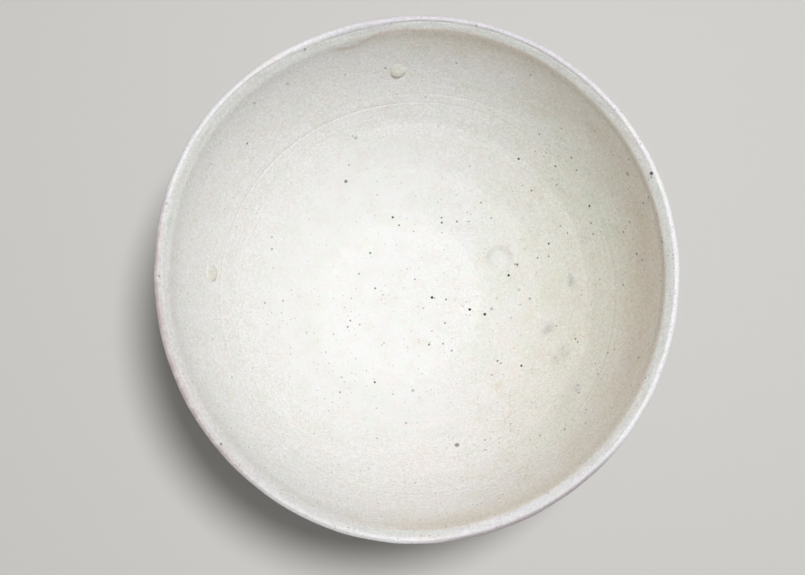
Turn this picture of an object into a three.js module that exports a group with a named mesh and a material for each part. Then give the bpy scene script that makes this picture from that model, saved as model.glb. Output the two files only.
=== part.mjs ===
// A hand-thrown stoneware tea bowl: a thrown body, a foot ring luted under it, a glaze poured
// inside, and an outer glaze that the bowl was dipped in, which laps over the lip.
// Millimetres, +Z up. The origin is the centre of the circle that the bowl stands on.
// Profiles are drawn in the half plane of radius and height, and are walked from the foot up
// the outside, over the lip and down the inside to the centre of the floor.

import * as THREE from 'three';

// Overall sizes, measured over the glaze.
const rimDiameter = 146;
const bowlHeight = 70;

// Foot ring, drawn in at its waist, with its inside trimmed a little off centre.
const footDiameter = 54;
const footHeight = 7;
const footWall = 6;
const footWaist = 0.7;
const footChamfer = 0.9;
const footOffCentre = 0.6;

// Underside of the body inside the foot ring: a trimmed hollow with a low cone at its centre.
const hollowDepth = 0.8;
const hollowMargin = 1.4;
const coneRadius = 7.5;
const coneHeight = 1.5;

// Outside of the clay: a straight trimmed band from the foot to the hip, then the belly. The hip
// lies under the inner wall, at a share of the way down from the lip.
const bandStep = 1;
const hipShare = 0.755;
const hipThickness = 6.1;
const bellySlopeAtHip = 41;
const bellySlopeAtLip = 78;
const bellyPull = 0.34;
const ridgeCount = 4;
const ridgeHeight = 0.3;

// Lip: a rounded edge, then a short bevel that ends at a crease on the inside.
const lipRadius = 0.7;
const lipBevelLength = 2;
const lipBevelSlope = 53;

// Inside of the clay: a steep wall that eases into the floor, and a shallow pool at the bottom.
const floorThickness = 5.7;
const poolRadius = 24.8;
const poolDish = 0.7;
const poolStep = 0.6;
const poolStepWidth = 2.4;
const wallSlopeAtLip = 74;
const wallSlopeAtPool = 20;
const wallPull = 0.38;

// Finger marks round the inner wall: each lies at a share of the way down from the lip.
const fingerMarks = [
  { share: 0.378, depth: 0.15 },
  { share: 0.518, depth: 0.3 },
  { share: 0.757, depth: 0.4 },
];

// Glazes. Both coats thin out towards the lip, and the outer one lies on the inner one there.
const innerCoat = 0.45;
const outerCoat = 0.5;
const lipCoat = 0.22;
const edgeCoat = 0.12;
const coatThinsFrom = 0.6;
const glazeGap = 0.06;
const slipGap = 0.06;

// The glaze line lies this far up the trimmed band. The outer coat ends there in a rolled bead.
const glazeLineRise = 5;
const beadCoat = 0.9;
const beadStart = 0.5;
const beadEnd = 1.4;
const beadFade = 2.8;

// Waves round the bowl: how many, how far they reach, and where the first one is, in degrees.
const glazeLineWaves = [
  { count: 1, reach: 1.8, heading: 126 },
  { count: 3, reach: 0.7, heading: -13 },
];
const rimWaves = [
  { count: 2, reach: 0.45, heading: 78 },
  { count: 3, reach: 0.33, heading: 30 },
  { count: 4, reach: 0.19, heading: 61 },
];
const rimDip = 0.6;
const rimDipHeading = 119;

// Fineness of the facets.
const turnSteps = 44;
const stepsPerRidge = 4;
const wallStep = 4.4;
const lipRiseSteps = 3;
const lipFallSteps = 2;
const lipBevelSteps = 2;
const poolSteps = 3;
const coneSteps = 3;
const footSideSteps = 4;

const rimRadius = rimDiameter / 2;
const footRadius = footDiameter / 2;
const lipGlaze = 2 * glazeGap + edgeCoat + lipCoat;

function point(radius, height) {
  return new THREE.Vector2(radius, height);
}

function direction(degrees) {
  const angle = THREE.MathUtils.degToRad(degrees);
  return new THREE.Vector2(Math.cos(angle), Math.sin(angle));
}

function moved(start, degrees, distance) {
  return start.clone().addScaledVector(direction(degrees), distance);
}

function waveAt(waves, angle) {
  return waves.reduce((sum, { count, reach, heading }) => {
    return sum + reach * Math.cos(count * (angle - THREE.MathUtils.degToRad(heading)));
  }, 0);
}

// A curve that leaves its start and reaches its end in the given directions.
function sweep(start, startDegrees, end, endDegrees, pull) {
  const reach = pull * start.distanceTo(end);
  const startHandle = moved(start, startDegrees, reach);
  const endHandle = moved(end, endDegrees, -reach);
  return new THREE.CubicBezierCurve(start, startHandle, endHandle, end);
}

// The place on a curve and its normal, which points out of the clay.
function rowAt(curve, share) {
  const tangent = curve.getTangent(share);
  return { place: curve.getPoint(share), normal: point(tangent.y, -tangent.x), share };
}

// Rows of the profile along part of a curve, without its last point. Relief lifts each row along
// its normal.
function rowsAlong(curve, steps, from = 0, to = 1, relief = () => 0) {
  return Array.from({ length: steps }, (_, step) => {
    const share = step / steps;
    const row = rowAt(curve, THREE.MathUtils.lerp(from, to, share));
    row.place.addScaledVector(row.normal, relief(share));
    return { ...row, share };
  });
}

// Key places on the clay.
const bandFoot = point(footRadius + bandStep, footHeight + slipGap);
const lipCentre = point(
  rimRadius - glazeGap - lipCoat - lipRadius,
  bowlHeight - lipGlaze - lipRadius,
);
const lipStart = bellySlopeAtLip - 90;
const lipTop = 90;
const lipEnd = 90 + lipBevelSlope;
const lipOuter = moved(lipCentre, lipStart, lipRadius);
const lipInner = moved(lipCentre, lipEnd, lipRadius);
const crease = moved(lipInner, 180 + lipBevelSlope, lipBevelLength);
const ceilingHeight = footHeight + slipGap + hollowDepth;
const floorCentre = point(0, ceilingHeight + floorThickness);
const poolEdge = point(poolRadius, floorCentre.y + poolDish);
const poolRim = point(poolRadius + poolStepWidth, poolEdge.y + poolStep);

function lipArc(startDegrees, endDegrees) {
  const [start, end] = [startDegrees, endDegrees].map(THREE.MathUtils.degToRad);
  return new THREE.EllipseCurve(lipCentre.x, lipCentre.y, lipRadius, lipRadius, start, end);
}

// Curves of the clay.
const wall = sweep(crease, 180 + wallSlopeAtLip, poolRim, 180 + wallSlopeAtPool, wallPull);
const overHip = rowAt(wall, hipShare);
const hip = overHip.place.addScaledVector(overHip.normal, -hipThickness);
const band = new THREE.LineCurve(bandFoot, hip);
const belly = sweep(hip, bellySlopeAtHip, lipOuter, bellySlopeAtLip, bellyPull);
const lipRise = lipArc(lipStart, lipTop);
const lipFall = lipArc(lipTop, lipEnd);
const lipBevel = new THREE.LineCurve(lipInner, crease);
const poolSide = new THREE.LineCurve(poolRim, poolEdge);
const poolFloor = new THREE.QuadraticBezierCurve(
  poolEdge,
  point(poolRadius / 2, floorCentre.y),
  floorCentre,
);

// The throwing ridges swell and sink along the belly and fade out at the hip and the lip.
function ridgeRelief(share) {
  const fade = Math.sin(Math.PI * share);
  return ridgeHeight * fade * Math.sin(2 * Math.PI * ridgeCount * share);
}

// The inner wall is cut by the finger marks. The stretch between two of them rises smoothly out
// of the one and sinks into the other.
function wallRows() {
  const stops = [{ share: 0, depth: 0 }, ...fingerMarks, { share: 1, depth: 0 }];
  return stops.slice(1).flatMap((below, index) => {
    const above = stops[index];
    const length = wall.getLength() * (below.share - above.share);
    const steps = Math.max(2, Math.round(length / wallStep));
    const relief = (share) => -above.depth * (1 - share) ** 3 - below.depth * share ** 3;
    return rowsAlong(wall, steps, above.share, below.share, relief);
  });
}

const bellyRows = rowsAlong(belly, ridgeCount * stepsPerRidge, 0, 1, ridgeRelief);
const lipRiseRows = rowsAlong(lipRise, lipRiseSteps);
const lipFallRows = rowsAlong(lipFall, lipFallSteps);
const lipBevelRows = rowsAlong(lipBevel, lipBevelSteps);
const insideRows = [
  ...wallRows(),
  ...rowsAlong(poolSide, 1),
  ...rowsAlong(poolFloor, poolSteps),
  rowAt(poolFloor, 1),
];

// The coats' thickness on each row. The inner glaze begins on top of the lip.
const lapCount = lipFallRows.length + lipBevelRows.length + 1;
const innerRows = [...lipFallRows, ...lipBevelRows, ...insideRows].map((row, index) => {
  const run = THREE.MathUtils.smoothstep(index, 0, lapCount + 1);
  const coat = index === 0 ? edgeCoat : THREE.MathUtils.lerp(lipCoat, innerCoat, run);
  return { ...row, lift: glazeGap, coat };
});

// The outer glaze ends in a thin edge above a rolled bead, on a line that tilts and waves along
// the trimmed band. Rows of the band slide with that line, less and less towards the hip.
const bandLength = band.getLength();
const bead = [
  { rise: 0, coat: edgeCoat },
  { rise: beadStart, coat: beadCoat },
  { rise: beadEnd, coat: (beadCoat + outerCoat) / 2 },
  { rise: beadFade, coat: outerCoat },
];
const bandRows = bead.map(({ rise, coat }) => {
  const slide = (bandLength - glazeLineRise - rise) / (bandLength - glazeLineRise);
  return { ...rowAt(band, (glazeLineRise + rise) / bandLength), lift: glazeGap, coat, slide };
});
const bellyCoatRows = bellyRows.map((row) => {
  const run = THREE.MathUtils.smoothstep(row.share, coatThinsFrom, 1);
  return { ...row, lift: glazeGap, coat: THREE.MathUtils.lerp(outerCoat, lipCoat, run) };
});
const lipCoatRows = lipRiseRows.map((row) => {
  return { ...row, lift: glazeGap, coat: lipCoat };
});
const lapRows = innerRows.slice(0, lapCount).map((row) => {
  return { ...row, lift: 2 * glazeGap + row.coat, coat: lipCoat };
});
lapRows.at(-1).coat = edgeCoat;
const outerRows = [...bandRows, ...bellyCoatRows, ...lipCoatRows, ...lapRows];

// A row lifted off the clay by the given height.
function lifted(row, height) {
  return { place: row.place.clone().addScaledVector(row.normal, height), slide: row.slide };
}

function underFace(rows) {
  return rows.map((row) => lifted(row, row.lift)).reverse();
}

function topFace(rows) {
  return rows.map((row) => lifted(row, row.lift + row.coat));
}

// The hand's departure from a true circle: nothing at the foot, the most at the rim.
function handThrown(radius, height, angle) {
  const rise = THREE.MathUtils.smoothstep(height, footHeight, bowlHeight);
  const spread = (rise * radius) / rimRadius;
  const dip = (rimDip + waveAt([{ count: 2, reach: rimDip, heading: rimDipHeading }], angle)) / 2;
  return { radius: radius + spread * waveAt(rimWaves, angle), height: height - spread * dip };
}

// Turns an outline into a solid. Each point may slide along the trimmed band or lie off centre,
// and the whole is then given the marks of the hand.
function revolve(outline) {
  const geometry = new THREE.LatheGeometry(outline.map((item) => item.place), turnSteps);
  const positions = geometry.getAttribute('position');
  const bandDirection = hip.clone().sub(bandFoot).normalize();
  for (let index = 0; index < positions.count; index += 1) {
    const { place, slide = 0, offCentre = 0 } = outline[index % outline.length];
    const column = Math.floor(index / outline.length) % turnSteps;
    const angle = (2 * Math.PI * column) / turnSteps;
    const shift = slide * waveAt(glazeLineWaves, angle);
    const slid = place.clone().addScaledVector(bandDirection, shift);
    const { radius, height } = handThrown(slid.x, slid.y, angle);
    const x = radius * Math.cos(angle) + offCentre;
    positions.setXYZ(index, x, radius * Math.sin(angle), height);
  }
  geometry.computeVertexNormals();
  return geometry;
}

function closedLoop(outline) {
  return [...outline, outline[0]];
}

function onlyPlaces(points) {
  return points.map((place) => ({ place }));
}

// The underside of the body, from the cone at its centre to the seat of the foot ring.
function undersideOutline() {
  const cone = Array.from({ length: coneSteps + 1 }, (_, step) => {
    const share = step / coneSteps;
    const drop = (coneHeight * (1 + Math.cos(Math.PI * share))) / 2;
    return point(share * coneRadius, ceilingHeight - drop);
  });
  const hollowRadius = footRadius - footWall - hollowMargin;
  return onlyPlaces([
    ...cone,
    point(hollowRadius - hollowDepth, ceilingHeight),
    point(hollowRadius, bandFoot.y),
    bandFoot,
  ]);
}

function clayBodyGeometry() {
  const skin = [...bellyRows, ...lipRiseRows, ...lipFallRows, ...lipBevelRows, ...insideRows];
  return revolve([...undersideOutline(), ...skin]);
}

// The ring's outline runs from the top of its outer side down to the face it stands on and up
// its inside. It is listed downwards, so it is reversed before it is turned.
function footRingGeometry() {
  const outerSide = new THREE.QuadraticBezierCurve(
    point(footRadius, footHeight),
    point(footRadius - 2 * footWaist, footHeight / 2),
    point(footRadius - footWaist / 2, footChamfer),
  );
  const innerSide = new THREE.QuadraticBezierCurve(
    point(footRadius - footWall + footWaist, footChamfer),
    point(footRadius - footWall, footHeight / 3),
    point(footRadius - footWall, footHeight),
  );
  const outer = [
    ...outerSide.getPoints(footSideSteps),
    point(footRadius - footWaist / 2 - footChamfer, 0),
  ];
  const inner = [
    point(footRadius - footWall + footWaist + footChamfer, 0),
    ...innerSide.getPoints(footSideSteps - 1),
  ].map((place) => ({ place, offCentre: footOffCentre }));
  return revolve(closedLoop([...onlyPlaces(outer), ...inner].reverse()));
}

function innerGlazeGeometry() {
  return revolve([...underFace(innerRows), ...topFace(innerRows)]);
}

function outerGlazeGeometry() {
  return revolve(closedLoop([...topFace(outerRows), ...underFace(outerRows)]));
}

const bareClay = { color: 0xb59a78, roughness: 0.92, metalness: 0 };
const innerGlazeLook = { color: 0xf1eee4, roughness: 0.42, metalness: 0 };
const outerGlazeLook = { color: 0xe9e4d8, roughness: 0.45, metalness: 0 };

function piece(name, geometry, look) {
  const mesh = new THREE.Mesh(geometry, new THREE.MeshStandardMaterial(look));
  mesh.name = name;
  return mesh;
}

const bowl = new THREE.Group();
bowl.name = 'tea_bowl';
bowl.add(
  piece('clay_body', clayBodyGeometry(), bareClay),
  piece('foot_ring', footRingGeometry(), bareClay),
  piece('inner_glaze', innerGlazeGeometry(), innerGlazeLook),
  piece('outer_glaze', outerGlazeGeometry(), outerGlazeLook),
);

export default bowl;
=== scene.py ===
"""A glazed stoneware tea bowl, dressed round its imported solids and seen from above.

Profiles are in millimetres of radius and height, and run from the foot up the outside, over the
lip and down the inside to the middle of the floor, as the solids do.
"""

import math

import bpy
import numpy as np
from mathutils import Matrix, Vector


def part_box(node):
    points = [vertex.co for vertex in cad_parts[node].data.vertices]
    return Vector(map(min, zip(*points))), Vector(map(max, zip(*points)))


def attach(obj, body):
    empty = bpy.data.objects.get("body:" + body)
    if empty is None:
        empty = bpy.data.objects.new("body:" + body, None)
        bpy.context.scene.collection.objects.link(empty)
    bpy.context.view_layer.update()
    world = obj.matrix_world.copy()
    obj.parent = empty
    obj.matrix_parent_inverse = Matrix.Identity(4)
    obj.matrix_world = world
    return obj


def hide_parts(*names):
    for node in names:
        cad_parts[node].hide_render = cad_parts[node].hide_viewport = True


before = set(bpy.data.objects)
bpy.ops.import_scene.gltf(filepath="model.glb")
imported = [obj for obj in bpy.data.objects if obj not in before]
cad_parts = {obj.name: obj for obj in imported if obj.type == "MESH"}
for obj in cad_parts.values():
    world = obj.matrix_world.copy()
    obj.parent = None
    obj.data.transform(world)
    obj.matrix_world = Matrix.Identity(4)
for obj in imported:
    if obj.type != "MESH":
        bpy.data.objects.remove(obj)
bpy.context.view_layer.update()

MM = 0.001


def corners(node):
    """The low and the high corner of a solid's box, in mm."""
    return np.array(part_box(node)) / MM


# Sizes taken from the solids.
BOWL_HEIGHT = corners("outer_glaze")[1, 2]
FOOT_RADIUS, _, FOOT_HEIGHT = corners("foot_ring")[1]

# Sizes of the clay and its coats, as the solids have them, but for the lip's slanted face
# (LIP_BEVEL), which is 0.4 mm wider here.
RIM_RADIUS = 73.0
GAP = 0.06
FLOOR_HEIGHT = corners("inner_glaze")[0, 2] - GAP
INNER_COAT = 0.45
OUTER_COAT = 0.5
LIP_COAT = 0.22
EDGE_COAT = 0.12
LIP_RADIUS = 0.7
LIP_BEVEL = 2.4
LIP_BEVEL_SLOPE = 53
LIP_SLOPE = 78
BELLY_SLOPE = 41
BELLY_PULL = 0.34
RIDGES = 4
RIDGE_HEIGHT = 0.3
FINE_RIDGES = 19
FINE_RIDGE_HEIGHT = 0.05
HIP_SHARE = 0.755
HIP_THICKNESS = 6.1
WALL_SLOPE = 74
WALL_END_SLOPE = 20
WALL_PULL = 0.38
POOL_RADIUS = 24.8
POOL_DISH = 0.7
POOL_STEP = 0.6
POOL_STEP_WIDTH = 2.4
BAND_STEP = 1.0
BAND_ROUND = 0.35
HOLLOW_DEPTH = 0.8
HOLLOW_MARGIN = 1.4
CONE_RADIUS = 7.5
CONE_HEIGHT = 1.5
FOOT_WALL = 6.0
FOOT_WAIST = 0.7
FOOT_CHAMFER = 0.9
FOOT_OFF_CENTRE = 0.6
GLAZE_LINE_RISE = 5.0
LAP = 1.4
SOFT_LAP = 2.8
LAP_GAP = 0.01
CREASE_COAT = 0.12

# The bead on the glaze line: mm up from the line, and how thick the coat is there.
BEAD_RUNS = [0, 0.15, 0.5, 0.95, 1.5, 2.6]
BEAD_COATS = [0.03, 0.45, 0.837, 0.9, 0.68, OUTER_COAT]

# How far the shown clay lies inside the solid's where glaze hides it, in mm.
CLAY_INSET = 0.2

# The trimming spiral underneath, in mm.
SPIRAL_PITCH = 2.3
SPIRAL_DEPTH = 0.09

# Waves round the bowl: how many, how far they reach in mm, and their heading in degrees.
RIM_WAVES = [(2, 0.45, 78), (3, 0.33, 30), (4, 0.19, 61), (5, 0.07, 0), (6, 0.09, 22)]
RIM_DIP = 0.6
RIM_DIP_HEADING = 119
GLAZE_LINE_WAVES = [(1, 1.8, 126), (3, 0.7, -13), (5, 0.3, 20), (8, 0.22, 50), (13, 0.12, 5)]
LAP_WAVES = [(2, 0.3, 100), (5, 0.16, 40), (9, 0.1, 12), (17, 0.05, 0)]

# Drips on the glaze line: heading and half width in degrees, and how far they run in mm.
DRIPS = [(38, 5, 1.3), (148, 4, 0.9), (231, 6, 1.5), (303, 4, 1.0)]

# The photograph: its frame, the lens, and where the centre of the rim's circle lies in it.
PHOTO_SIZE = (805, 575)
FOCAL_PX = 1085
RIM_CENTRE_PX = (420.4, 270.0)
VIEW_DISTANCE = 297.6
VIEW_ELEVATION = 81
VIEW_HEADING = -118


def polar(degrees):
    angle = math.radians(degrees)
    return np.array([math.cos(angle), math.sin(angle)])


def direction(heading, elevation):
    """The unit vector toward a heading and an elevation, in degrees."""
    flat, up = polar(elevation)
    return np.array([*(flat * polar(heading)), up])


def unit(vector):
    return vector / np.linalg.norm(vector, axis=-1, keepdims=True)


def waves(table, angle):
    return sum(reach * np.cos(count * (angle - math.radians(heading)))
               for count, reach, heading in table)


def smooth(value, low, high):
    share = np.clip((value - low) / (high - low), 0, 1)
    return share * share * (3 - 2 * share)


def between(value, start, full, fading, end):
    """1 from full to fading, and smoothly down to 0 at the start and the end."""
    return smooth(value, start, full) * (1 - smooth(value, fading, end))


def hump(value, centre, half_width):
    return np.exp(-(((value - centre) / half_width) ** 2))


def lobe(angle, heading, half_width, least=0):
    """1 at a heading, falling to the least value away from it. Heading and width in degrees."""
    turned = (np.degrees(angle) - heading + 180) % 360 - 180
    return least + (1 - least) * hump(turned, 0, half_width)


# Curves take an array of shares and return an array of places.
def bezier(*points):
    """A curve from the first point to the last. Two points make a straight line."""
    degree = len(points) - 1

    def curve(share):
        share = np.asarray(share, float)[..., None]
        return sum(math.comb(degree, k) * share**k * (1 - share) ** (degree - k) * point
                   for k, point in enumerate(points))

    return curve


def sweep(start, start_slope, end, end_slope, pull):
    reach = pull * np.linalg.norm(end - start)
    return bezier(start, start + reach * polar(start_slope), end - reach * polar(end_slope), end)


def arc(centre, radius, start, end):
    def curve(share):
        angle = np.radians(start + (end - start) * np.asarray(share, float))
        return centre + radius * np.stack([np.cos(angle), np.sin(angle)], -1)

    return curve


def right_of(along):
    """Unit vectors to the right of a walk, where they point out of the clay."""
    return unit(np.stack([along[..., 1], -along[..., 0]], -1))


def normals(curve, share):
    share, step = np.asarray(share, float), 1e-4
    return right_of(curve(share + step) - curve(share - step))


def rows_of(*segments):
    """Places and normals of the rows of (curve, shares) pairs, one after the other."""
    places = [curve(share) for curve, share in segments]
    outward = [normals(curve, share) for curve, share in segments]
    return np.concatenate(places), np.concatenate(outward)


def even(count):
    return np.linspace(0, 1, count)


def length_of(curve):
    points = curve(even(400))
    return np.linalg.norm(np.diff(points, axis=0), axis=1).sum()


def before_end(*segments):
    """Where the rows of (curve, shares) pairs lie: mm along the skin, 0 at the end."""
    lengths = [length_of(curve) for curve, _ in segments]
    starts = np.cumsum([0, *lengths[:-1]]) - sum(lengths)
    return np.concatenate([start + length * np.asarray(share)
                           for start, length, (_, share) in zip(starts, lengths, segments)])


def steps(count):
    """Even shares from 0 up to 1, but without the 1, where the next curve begins."""
    return np.linspace(0, 1, count, endpoint=False)


def spread(count, crowded):
    """Shares from 0 to 1 that lie closer together near each (share, width, strength)."""
    fine = even(4001)
    density = np.ones_like(fine)
    for centre, width, strength in crowded:
        density += strength * hump(fine, centre, width)
    total = np.concatenate([[0], np.cumsum((density[1:] + density[:-1]) / 2)])
    return np.interp(even(count), total / total[-1], fine)


# Key places and curves of the clay.
ceiling = FOOT_HEIGHT + GAP + HOLLOW_DEPTH
hollow = FOOT_RADIUS - FOOT_WALL - HOLLOW_MARGIN
band_foot = np.array([FOOT_RADIUS + BAND_STEP, FOOT_HEIGHT + GAP])
lip_centre = np.array([
    RIM_RADIUS - GAP - LIP_COAT - LIP_RADIUS,
    BOWL_HEIGHT - 2 * GAP - EDGE_COAT - LIP_COAT - LIP_RADIUS,
])
lip_start = LIP_SLOPE - 90
lip_end = 90 + LIP_BEVEL_SLOPE
lip_outer = lip_centre + LIP_RADIUS * polar(lip_start)
lip_inner = lip_centre + LIP_RADIUS * polar(lip_end)
crease = lip_inner + LIP_BEVEL * polar(180 + LIP_BEVEL_SLOPE)
pool_edge = np.array([POOL_RADIUS, FLOOR_HEIGHT + POOL_DISH])
pool_rim = pool_edge + [POOL_STEP_WIDTH, POOL_STEP]

wall = sweep(crease, 180 + WALL_SLOPE, pool_rim, 180 + WALL_END_SLOPE, WALL_PULL)
hip = wall(HIP_SHARE) - HIP_THICKNESS * normals(wall, HIP_SHARE)
band = bezier(band_foot, hip)
belly = sweep(hip, BELLY_SLOPE, lip_outer, LIP_SLOPE, BELLY_PULL)
lip_rise = arc(lip_centre, LIP_RADIUS, lip_start, 90)
lip_fall = arc(lip_centre, LIP_RADIUS, 90, lip_end)
lip_bevel = bezier(lip_inner, crease)
pool_side = bezier(pool_rim, pool_edge)
pool_floor = bezier(pool_edge, [POOL_RADIUS / 2, FLOOR_HEIGHT], [0, FLOOR_HEIGHT])
band_way = unit(hip - band_foot)
band_length = length_of(band)
fall_length = length_of(lip_fall)
wall_length = length_of(wall)
rim_centre = np.array([0, 0, BOWL_HEIGHT - RIM_DIP / 2])


def pour_coat(below):
    """Thickness of the inner coat, by mm below the crease along the skin."""
    return EDGE_COAT + (INNER_COAT - EDGE_COAT) * smooth(below, -fall_length - LIP_BEVEL, 1.2)


def hand_thrown(radius, height, angle):
    """The hand's departure from a true circle: nothing at the foot, the most at the rim."""
    rise = smooth(height, FOOT_HEIGHT, BOWL_HEIGHT)
    share = rise * radius / RIM_RADIUS
    dip = (RIM_DIP + waves([(2, RIM_DIP, RIM_DIP_HEADING)], angle)) / 2
    return radius + share * waves(RIM_WAVES, angle), height - share * dip


def lifted(place, outward, height, angle, shift=(0, 0)):
    """Places on the bowl of a grid of profile points that are raised along their normals."""
    spot = place + height[..., None] * outward
    radius, height = hand_thrown(spot[..., 0], spot[..., 1], angle)
    x = radius * np.cos(angle) + shift[0]
    y = radius * np.sin(angle) + shift[1]
    return np.stack([x, y, height], -1)


def off_middle(pixel):
    """How far a pixel lies right of the photograph's middle and above it, in focal lengths."""
    return (pixel[0] - PHOTO_SIZE[0] / 2) / FOCAL_PX, (PHOTO_SIZE[1] / 2 - pixel[1]) / FOCAL_PX


# The camera comes first, because marks on the bowl are placed by what it sees.
def camera_axes():
    """Where the camera stands, in mm, and its right, up and forward directions."""
    away = direction(VIEW_HEADING, VIEW_ELEVATION)
    image_up = (0, 1, 0)
    right = unit(np.cross(-away, image_up))
    up = np.cross(right, -away)
    aside, above = off_middle(RIM_CENTRE_PX)
    forward = unit(-away - aside * right - above * up)
    right = unit(np.cross(forward, image_up))
    return rim_centre + VIEW_DISTANCE * away, right, np.cross(right, forward), forward


eye, eye_right, eye_up, eye_forward = camera_axes()


def add_object(name, data):
    thing = bpy.data.objects.new(name, data)
    bpy.context.scene.collection.objects.link(thing)
    return thing


def make_camera():
    data = bpy.data.cameras.new("camera")
    data.sensor_fit = "HORIZONTAL"
    data.sensor_width = 36
    data.lens = FOCAL_PX / PHOTO_SIZE[0] * data.sensor_width
    data.clip_start = 0.01
    camera = add_object("camera", data)
    rows = np.stack([eye_right, eye_up, -eye_forward, eye * MM], 1).tolist()
    camera.matrix_world = Matrix([*rows, (0, 0, 0, 1)])
    bpy.context.scene.camera = camera


make_camera()


def ray_through(pixel):
    aside, above = off_middle(pixel)
    return unit(eye_forward + aside * eye_right + above * eye_up)


def on_inside(pixel):
    """The place on the glazed inside that the camera sees at a pixel of the photograph."""
    place, outward = rows_of((wall, even(400)), (pool_side, [0.5]),
                             (pool_floor, even(60)))
    skin = (place + (GAP + INNER_COAT) * outward)[::-1]
    distances = VIEW_DISTANCE * np.linspace(0.8, 1.5, 6000)
    path = eye + distances[:, None] * ray_through(pixel)
    angle = np.arctan2(path[:, 1], path[:, 0])
    radius = np.hypot(path[:, 0], path[:, 1])
    thrown = hand_thrown(radius, path[:, 2], angle)
    radius, height = 2 * radius - thrown[0], 2 * path[:, 2] - thrown[1]
    return path[np.argmax(height < np.interp(radius, skin[:, 0], skin[:, 1]))]


def seen_on(piece, pixel):
    """The place on a finished piece that the camera sees at a pixel of the photograph."""
    depsgraph = bpy.context.evaluated_depsgraph_get()
    start, way = Vector(eye * MM), Vector(ray_through(pixel))
    _, place, _, _ = piece.ray_cast(start, way, depsgraph=depsgraph)
    return np.array(place) / MM


# Blisters in the glaze, by their pixels in the photograph: width across and height in mm. They
# sag, so their lower side is the higher one, and round them the glaze is drawn in.
BLISTERS = [((397.7, 71.7), 4.5, 0.62), ((211.6, 273.1), 4.9, 0.66)]
BLISTER_SAG = 0.65
BLISTER_MOAT = 0.12
# A low ring on the floor, where a bubble broke: pixel, radius, half width and height in mm.
BROKEN_BUBBLE = ((500, 259), 3.7, 0.6, 0.08)

# Marks round the inner wall, by the share of the way down from the crease: depth and half width
# in mm, how far their centre lies off the bowl's axis, and where they are deepest and how wide
# that stretch is, in degrees. Elsewhere a mark has the last number's share of its depth.
FINGER_MARKS = [
    (0.378, 0.085, 0.3, (1.3, -2.4), 130, 56, 0.45),
    (0.505, 0.18, 2.8, (0.6, -2.2), 20, 80, 0.35),
    (0.757, 0.12, 3.4, (0, -1.6), 0, 90, 0.5),
]
# A scratch, by the same numbers.
SCRATCH = (0.335, 0.06, 0.3, (0, 0), 75, 28, 0)
# The painted shade along the upper side of the first mark: how far above it and how wide, in half widths of
# the mark.
SHADE_OFFSET = 0.8
SHADE_SPREAD = 1.5

# The crease under the lip is rounded off, but for a sharp stretch: heading and half width.
CREASE_ROUND = 0.15
CREASE_REACH = 1.7
SHARPNESS = 0.75
SHARP_STRETCH = (20, 62)
# The groove at the upper edge of the lip's slanted face: depth, half width and how far from that
# edge, in mm. Its deepest stretch: heading, half width, and the share of the depth elsewhere.
GROOVE_DEPTH = 0.1
GROOVE_HALF_WIDTH = 0.2
GROOVE_INSIDE = 0.1
GROOVE_STRETCH = (84, 38, 0.35)
# Over one stretch the rounded lip is wider, so that the groove lies further in: by how many mm,
# and the heading and half width of the stretch in degrees.
WIDE_LIP = 0.75
WIDE_LIP_HEADING = 109
WIDE_LIP_STRETCH = 11
POOL_OFF_CENTRE = (-0.85, -1.0)

blister_places = [on_inside(pixel) for pixel, _, _ in BLISTERS]
bubble_place = on_inside(BROKEN_BUBBLE[0])


def softness(angle):
    """How far the lip is rounded off and its glaze thinned out: least where it is sharp."""
    return 1 - SHARPNESS * lobe(angle, *SHARP_STRETCH)


def crease_wear(run, angle):
    """The crease rounded off, but for its sharp stretch on the right. Height below nought."""
    return -CREASE_ROUND * softness(angle) * np.clip(1 - np.abs(run) / CREASE_REACH, 0, None) ** 2


def bubble_relief(places):
    """Height that the sagging blisters and the broken bubble add, for places in mm."""
    total = np.zeros(places.shape[:-1])
    for centre, (_, width, height) in zip(blister_places, BLISTERS):
        away = np.linalg.norm(places - centre, axis=-1) / (width / 2)
        sag = 1 - BLISTER_SAG * (places[..., 2] - centre[2]) / (width / 2)
        total += height * sag * np.clip(1 - away**4, 0, None) ** 0.8
        total -= BLISTER_MOAT * height * hump(away, 1.15, 0.15)
    _, radius, half_width, height = BROKEN_BUBBLE
    away = np.linalg.norm(places - bubble_place, axis=-1)
    return total + height * hump(away, radius, half_width)


def unevenness(angle, along, reach, seed, least=2, most=16, pitch=22):
    """A gentle swell from a few seeded waves round and along the skin."""
    source = np.random.default_rng(seed)
    total = np.zeros(np.broadcast(angle, along).shape)
    count = 14
    for _ in range(count):
        turns = source.integers(least, most)
        climb = source.normal() * 2 * np.pi / pitch
        phase = source.uniform(0, 2 * np.pi)
        total += np.cos(turns * angle + climb * along + phase)
    return reach * total / math.sqrt(count / 2)


def turning_marks(angle, along, reach, pitch, swing):
    """Rings left by turning, which swing up and down once round the bowl."""
    return reach * np.sin(2 * np.pi * along / pitch + swing * np.sin(angle))


def ridges(share, count=RIDGES, height=RIDGE_HEIGHT, turn=0):
    """Throwing ridges of the belly, by the share of the way up. They climb with the turn."""
    return height * np.sin(np.pi * share) * np.sin(2 * np.pi * count * share + turn)


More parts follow.
